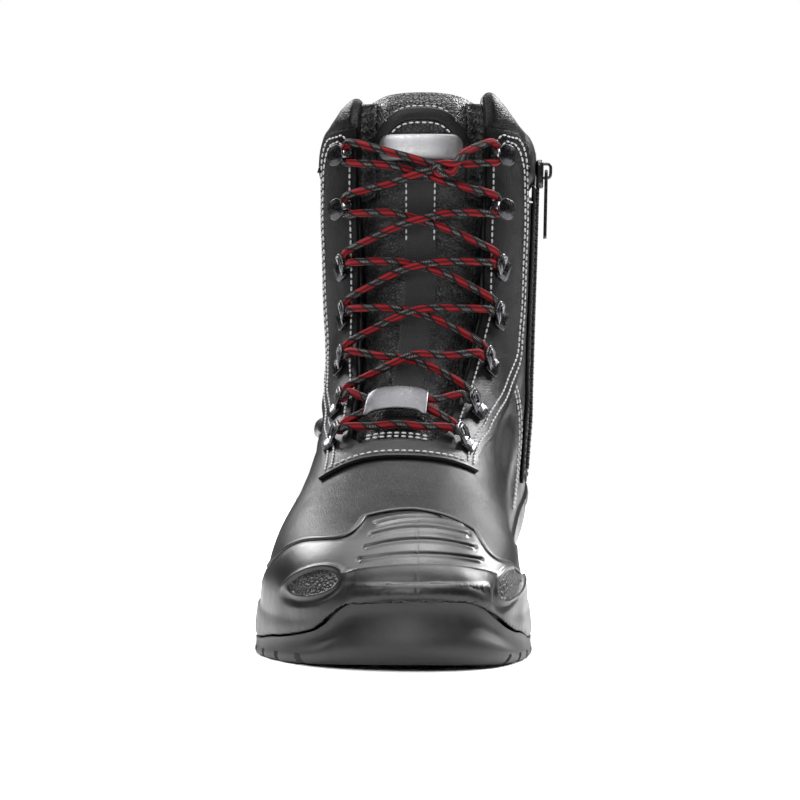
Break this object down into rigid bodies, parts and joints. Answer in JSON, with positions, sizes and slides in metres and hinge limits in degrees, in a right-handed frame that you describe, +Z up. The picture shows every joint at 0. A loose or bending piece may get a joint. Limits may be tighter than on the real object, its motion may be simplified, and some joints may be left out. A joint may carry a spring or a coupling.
{
  "type": "winter safety boot",
  "caption": "Right winter safety boot: leather shaft with a padded collar, ribbed moulded toe cap, lugged sole, side zip, and red and black laces through dark hooks and rings",
  "frame": {"origin": "on the floor under the middle of the heel, on the flat face of the outsole's heel", "axes": "+Z up, -Y towards the toe, +X towards the inner side of the foot"},
  "size_m": [0.1205, 0.3073, 0.239],
  "materials": {
    "outsole": "moulded rubber, satin, dark grey",
    "midsole": "moulded polyurethane, satin, near black",
    "leather": "smooth waxed leather, black",
    "soft_leather": "grained soft leather, black",
    "insole": "grey winter felt",
    "strap": "woven tape, dark grey",
    "badge": "silver moulded badge",
    "metal": "dark gunmetal, polished",
    "plate": "polished grey metal",
    "lace": "round braid, black with red blocks and grey flecks",
    "tape": "woven black zip tape",
    "teeth": "black moulded coil"
  },
  "bodies": {
    "boot": {"outsole": "outsole", "midsole": "midsole", "upper": "leather", "insole": "insole", "facing": "leather", "collar": "soft_leather", "tongue": "soft_leather", "tongue_strap": "strap", "tongue_badge": "badge", "ankle_band": "leather", "zip_tape": "tape", "zip_teeth": "teeth", "zip_slider": "metal", "hook_outer_1": "metal", "hook_inner_1": "metal", "hook_outer_2": "metal", "hook_inner_2": "metal", "ring_outer_3": "metal", "ring_inner_3": "metal", "ring_outer_4": "metal", "ring_inner_4": "metal", "ring_outer_5": "metal", "ring_inner_5": "metal", "ring_outer_6": "metal", "ring_inner_6": "metal", "ring_outer_7": "metal", "ring_inner_7": "metal", "lace": "lace", "lace_plate": "plate"},
    "pull": {"zip_pull": "metal"}
  },
  "joints": [
    {"name": "pull_swing", "type": "hinge", "parent": "boot", "child": "pull", "pos_m": [0.05342, -0.02211, 0.20594], "axis": [-0.0047, -1, 0], "range_deg": [0, 170]}
  ]
}
